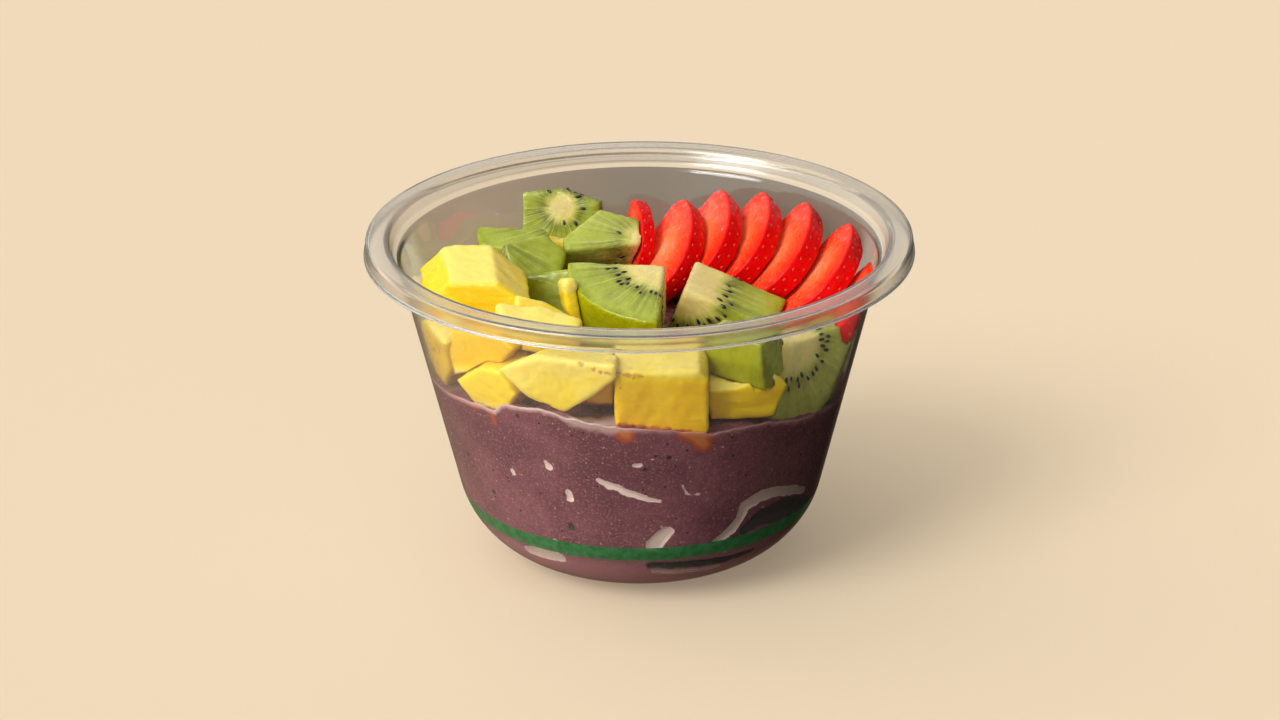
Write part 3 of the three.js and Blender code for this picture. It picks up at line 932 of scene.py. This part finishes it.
def make_strawberry(node, seed, material):
    tip, turn, rise, lean, scale = slice_fan[node]
    to_world = np.array(slice_matrix(tip, turn, rise, lean))
    thickness = slice_thickness * scale
    angles = np.arange(berry_columns) * 2 * math.pi / berry_columns
    rows = berry_rows(thickness)
    points, faces = closed_grid(np.array([berry_outline(scale, back, angles, share)
                                          for back, share in rows]))
    reach = np.concatenate([[0], np.repeat([share for _, share in rows], berry_columns), [0]])
    skin = (reach == 1).astype(float)
    pips = berry_pips(scale, thickness)
    pip_points = np.array([berry_outline(scale, back, np.array([angle]))[0]
                           for angle, back in pips])
    nearest = np.linalg.norm(points[:, None] - pip_points[None], axis=2).min(axis=1)
    normals = point_normals(points, faces)
    normals = -normals if normals[0][2] < 0 else normals
    dent = -pip_dent * np.exp(-(nearest / 0.7) ** 2) * skin
    uneven = 0.10 * relief(points + seed * 7.0, 5, seed) + 0.04 * relief(points, 1.5, seed + 1)
    shaped = points + normals * (dent + uneven - 0.08)[:, None]
    world = inside_tub(moved(to_world, shaped))
    piece = mesh_piece(node + "_flesh", world, faces, [material])
    half = np.array([berry_width / 2 * scale, berry_length / 2 * scale, 1])
    berry = points / half + np.array([0, 1, 0])
    berry[:, 2] = reach
    paint(piece, "berry", berry)
    paint(piece, "skin", skin)
    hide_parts(node)
    return strawberry_pip_places(scale, pips, to_world)


def strawberry_pip_places(scale, pips, to_world):
    places = []
    for angle, back in pips:
        here, ahead = berry_outline(scale, back, np.array([angle, angle + 0.05]))
        behind = berry_outline(scale, back + 0.3, np.array([angle]))[0]
        normal = unit(np.cross(ahead - here, behind - here))
        outward = here - np.array([0, -berry_length / 2 * scale, here[2]])
        normal = normal if normal @ outward > 0 else -normal
        along = unit(np.array([0, 1, 0]) - normal * normal[1])
        turn = to_world[:3, :3]
        world = turn @ (here - pip_dent * normal) + to_world[:3, 3]
        if math.hypot(world[0], world[1]) < wall_radius(world[2]) - sheet - 0.8:
            places.append((world, turn @ along, turn @ normal, 1.0))
    return places


def inside_tub(points, clearance=0.3):
    """Moves points that would touch the wall inwards, up to the wall."""
    limit = wall_radius(points[:, 2]) - sheet / upright - clearance
    away = np.hypot(points[:, 0], points[:, 1])
    share = np.minimum(1, limit / np.maximum(away, 1e-6))
    return points * np.stack([share, share, np.ones(len(points))], axis=1)


# ---------- the acai ----------

def acai_turns():
    first, last = front_turns
    front = np.linspace(first, last, columns_front, endpoint=False)
    back = np.linspace(last, first + 360, columns_back, endpoint=False)
    return np.concatenate([front, back])


def chain_depth(chains, turns, heights, radii):
    """How deep each point lies inside the nearest chain of circles; negative outside."""
    depth = np.full(turns.shape, -3.0)
    flat = np.stack([np.radians(turns) * radii, heights / upright], axis=-1)
    for chain in chains:
        for (turn_a, high_a, wide_a), (turn_b, high_b, wide_b) in zip(chain[:-1], chain[1:]):
            radius = wall_radius((high_a + high_b) / 2)
            near = np.abs(np.radians(turns - turn_a) * radii) < chain_reach
            start = np.array([math.radians(turn_a), high_a / upright])
            end = np.array([math.radians(turn_b), high_b / upright])
            scale = np.array([radius, 1])
            way = (end - start) * scale
            here = flat - start * np.stack([radii, np.ones_like(radii)], axis=-1)
            t = np.clip((here * way).sum(axis=-1) / (way @ way), 0, 1)
            gap = np.linalg.norm(here - t[..., None] * way, axis=-1)
            inside = wide_a + (wide_b - wide_a) * t - gap
            depth = np.where(near, np.maximum(depth, inside), depth)
    return depth


def hidden_side_pockets():
    """Pockets on the side that faces away, of the same kinds as those in front."""
    random = np.random.default_rng(31)
    chains = []
    for _ in range(9):
        turn, height = random.uniform(10, 175), random.uniform(12, 36)
        chain = []
        for _ in range(int(random.integers(2, 5))):
            chain.append((turn, height, random.uniform(0.5, 1.1)))
            turn += random.uniform(2, 4)
            height += random.normal(0, 1.3)
        chains.append(chain)
    return chains


def inner_side(height):
    """Radius of the tub's inside, moved by what the acai reaches into it."""
    profile = wall_profile(sheet - acai_in_plastic)
    return np.interp(height, [z for _, z in profile], [r for r, _ in profile])


def acai_top(radius, turns, edge_radius, level):
    """Height of the acai's open surface."""
    x = radius * np.cos(np.radians(turns))
    y = radius * np.sin(np.radians(turns))
    outward = radius / edge_radius
    away = np.hypot(x - mound_centre[0], y - mound_centre[1]) / mound_radius
    mound = mound_height * np.maximum(0, 1 - away ** 2) * np.minimum(1, 3 * (1 - outward))
    height = acai_base + (level - acai_base) * outward ** 2 + mound
    to_wall = edge_radius - radius
    height = height - lip_drop * (1 - np.exp(-to_wall / lip_reach))
    flat = np.stack([x.ravel(), y.ravel(), np.zeros(x.size)], axis=1)
    lumps = 0.7 * relief(flat, 9, 5) + 0.3 * relief(flat, 3.5, 6)
    return height + lumps.reshape(x.shape) * smooth_step(0, 3, to_wall)


def acai_edge(turns):
    """The acai's level at the wall, with small waves."""
    around = np.stack([np.cos(np.radians(turns)), np.sin(np.radians(turns)),
                       np.zeros(len(turns))], axis=1) * wall_radius(acai_base)
    return level_at(turns) + 0.22 * relief(around, 4, 3) + 0.08 * relief(around, 1.6, 4)


def acai_rows(turns, level, edge_radius):
    """Radius and height of every point, in rows from the foot's middle to the top's."""
    profile = np.array(wall_profile(sheet - acai_in_plastic, steps=60))
    radii, heights = profile.T
    steps = [math.dist(a, b) for a, b in zip(profile[:-1], profile[1:])]
    lengths = np.concatenate([[0], np.cumsum(steps)])
    rows = []
    for share in np.linspace(0.04, 1, foot_rows, endpoint=False):
        radius = radii[0] * share
        flat = smooth_step(push_up_radius, push_up_radius + push_up_width, radius)
        height = heights[0] + (push_up_height + sheet) * (1 - flat)
        rows.append((np.full(len(turns), radius), np.full(len(turns), height)))
    reach = np.interp(level, heights, lengths)
    for share in np.linspace(0, 1, wall_rows):
        rows.append((np.interp(reach * share, lengths, radii),
                     np.interp(reach * share, lengths, heights)))
    for share in np.linspace(0, 1, top_rows)[1:]:
        radius = edge_radius * (1 - share ** 1.35 * 0.98)
        rows.append((radius, acai_top(radius, turns, edge_radius, level)))
    return np.array(rows).transpose(1, 0, 2)


def make_acai(material):
    turns = acai_turns()
    level = acai_edge(turns)
    edge_radius = inner_side(level)
    radius, height = acai_rows(turns, level, edge_radius)
    on_wall = np.zeros(radius.shape)
    on_wall[foot_rows:foot_rows + wall_rows] = 1
    all_turns = np.broadcast_to(turns, radius.shape)

    def depth_in(chains):
        return np.where(on_wall > 0, chain_depth(chains, all_turns, height, radius), -3)

    pocket = depth_in(air_pockets + hidden_side_pockets())
    hollow = depth_in(dark_hollows)
    dent = (pocket_dent * smooth_step(-0.1, 0.6, pocket)
            + hollow_dent * smooth_step(-0.1, 1.5, hollow))
    radius = radius - dent
    angles = np.radians(all_turns)
    rings = np.stack([radius * np.cos(angles), radius * np.sin(angles), height], axis=-1)
    points, faces = closed_grid(rings)
    piece = mesh_piece("acai_cream", points, faces, [material])
    # Painted light: the acai's top near the wall between these azimuths is painted pale, with a
    # thin smear.
    first, last = lit_smear_turns
    opening = (smooth_step(first - 2, first + 2, all_turns)
               * smooth_step(last + 1, last - 1, all_turns))
    near_wall = smooth_step(12, 7, edge_radius - radius) * (height > 20)
    painted = {
        "pocket": pocket,
        "hollow": hollow,
        "under": np.where(on_wall > 0, (level - height) / (1 + 0.9 * opening), 3.0),
        "lit_smear": opening * (1 - on_wall) * near_wall,
        "film": np.broadcast_to(film_strength(turns), radius.shape),
        "stain": depth_in(juice_stains),
    }
    for name, values in painted.items():
        paint(piece, name, np.concatenate([values[0, :1], values.ravel(), values[-1, :1]]))
    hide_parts("acai")


def film_strength(turns):
    """The pale film along the acai's edge is thick at the front left and thin at the right."""
    front = smooth_step(-165, -130, turns) * smooth_step(-84, -100, turns)
    return 0.3 + 0.7 * np.where(turns < 0, front, 0.4)


# ---------- stage, light and view ----------

def stage_mesh(name, points, surface):
    """A flat thing of the studio, which bounced and reflected light goes through."""
    mesh = bpy.data.meshes.new(name)
    mesh.from_pydata(points, [], [list(range(len(points)))])
    graph = material_graph(name)
    lit = surface(graph)
    path = graph.add("LightPath")
    turns = graph.plus(path.outputs["Diffuse Depth"], path.outputs["Glossy Depth"])
    bounced = graph.math("GREATER_THAN", turns, 0.5)
    clear = graph.add("BsdfTransparent")
    mesh.materials.append(graph.finish(graph.mix_shaders(bounced, lit, clear)))
    thing = bpy.data.objects.new(name, mesh)
    thing.visible_diffuse = False
    thing.visible_glossy = False
    put_in_scene(thing)
    return thing


def floor_surface(graph):
    """Pale paper, which glows a little, so that the shadow on it stays light."""
    paper = graph.add("BsdfDiffuse", {"Color": floor_colour})
    glow = graph.add("Emission", {"Color": floor_colour, "Strength": 1.0})
    return graph.mix_shaders(floor_glow, paper, glow)


def card_surface(graph):
    """Brown card that glows with its own light instead of being lit, painted lighter at the left
    as if lit from there, and paler towards its edge.
    """
    axes = graph.axes()
    side = graph.step(axes["X"], -50 * mm, 10 * mm)
    shade = graph.blend(side, (172, 150, 126), (124, 110, 93))
    rim_side = graph.step(axes["X"], -30 * mm, 60 * mm)
    under_rim = graph.blend(rim_side, (214, 200, 182), (196, 186, 170))
    away = graph.add("VectorMath", {0: graph.flat(axes)}, operation="LENGTH").outputs["Value"]
    outer = graph.step(away, 61 * mm, 66 * mm)
    return graph.add("Emission", {"Color": graph.blend(outer, shade, under_rim)})


def make_stage():
    corners = [(-1, -1), (1, -1), (1, 1), (-1, 1)]
    stage_mesh("floor", [(x * floor_reach, y * floor_reach, 0) for x, y in corners], floor_surface)
    # A dark card on the floor where the tub's far side is seen against it, which gives the clear
    # wall its tone. It glows with its own light instead of being lit by the lamps, and shows
    # through the plastic only.
    spread = camera_place[2] / (camera_place[2] - tub_height)
    radius = spread * rim_radius
    disc = [(radius * math.cos(t) * mm, radius * math.sin(t) * mm, 0)
            for t in np.arange(0, 2 * math.pi, math.pi / 60)]
    card = stage_mesh("card", disc, card_surface)
    card.location = Vector((0, camera_place[1] * (1 - spread), card_height)) * mm
    card.visible_camera = False
    card.visible_shadow = False


def make_world():
    """A room that is bright at the left and dark at the right, over a brown table."""
    graph = Graph(bpy.data.worlds.new("studio"))
    towards = graph.axes(graph.add("TexCoord").outputs["Generated"])
    side = graph.step(towards["X"], -1, 1)
    above = graph.ramp(side, room_above, "LINEAR")
    below = graph.ramp(side, room_below, "LINEAR")
    room = graph.blend(graph.step(towards["Z"], -0.06, 0.06), below, above)
    seen = graph.add("LightPath").outputs["Is Camera Ray"]
    room = graph.blend(seen, room, floor_colour)
    light = graph.add("Background", {"Color": room, "Strength": world_strength})
    bpy.context.scene.world = graph.finish(light, "OutputWorld")


def aimed(obj, place, aim):
    obj.location = Vector(place) * mm
    obj.rotation_euler = (Vector(aim) - Vector(place)).to_track_quat("-Z", "Y").to_euler()
    put_in_scene(obj)


def make_lights():
    sun = bpy.data.lights.new("sun", "SUN")
    sun.energy = sun_energy
    sun.angle = math.radians(sun_width)
    sun.color = (1.0, 0.98, 0.95)
    aimed(bpy.data.objects.new("sun", sun), sun_place, (0, 0, 0))
    panel = bpy.data.lights.new("panel", "AREA")
    panel.energy = panel_energy
    panel.shape = "RECTANGLE"
    panel.size = panel_side
    panel.size_y = panel_side
    shine = bpy.data.objects.new("panel", panel)
    shine.visible_diffuse = False
    aimed(shine, panel_place, (0, 0, 50))


def make_camera():
    lens = bpy.data.cameras.new("camera")
    lens.lens = camera_lens
    lens.sensor_width = 36
    lens.clip_start = 0.01
    camera = bpy.data.objects.new("camera", lens)
    aimed(camera, camera_place, camera_aim)
    level = camera.rotation_euler.to_quaternion()
    camera.rotation_euler = (level @ Quaternion((0, 0, 1), math.radians(camera_roll))).to_euler()
    bpy.context.scene.camera = camera


def make_fruit():
    mango = mango_flesh()
    kiwi = kiwi_flesh()
    strawberry = strawberry_flesh()
    random = np.random.default_rng(8)
    seeds = []
    pips = []
    for seed, node in enumerate(sorted(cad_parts)):
        if node.startswith("mango"):
            make_mango(node, seed * 10, mango)
        elif node.startswith("kiwi"):
            points, faces = make_kiwi(node, seed * 10, kiwi)
            seeds += kiwi_seed_places(node, points, faces, random)
        elif node.startswith("strawberry"):
            pips += make_strawberry(node, seed * 10, strawberry)
    seed_shape = drop_shape(seed_size, np.linspace(0.08, 0.92, 7), 0.7, 0.5)
    pip_shape = drop_shape(pip_size, np.linspace(0.1, 0.9, 5), 0.6, 0)
    scatter("kiwi_seeds", seed_shape, seeds, kiwi_seed())
    scatter("strawberry_pips", pip_shape, pips, strawberry_pip())


make_camera()
make_stage()
make_world()
make_lights()
bpy.context.scene.view_settings.view_transform = "Standard"
bpy.context.scene.cycles.transparent_max_bounces = 16
make_tub()
make_fruit()
make_acai(acai_cream())
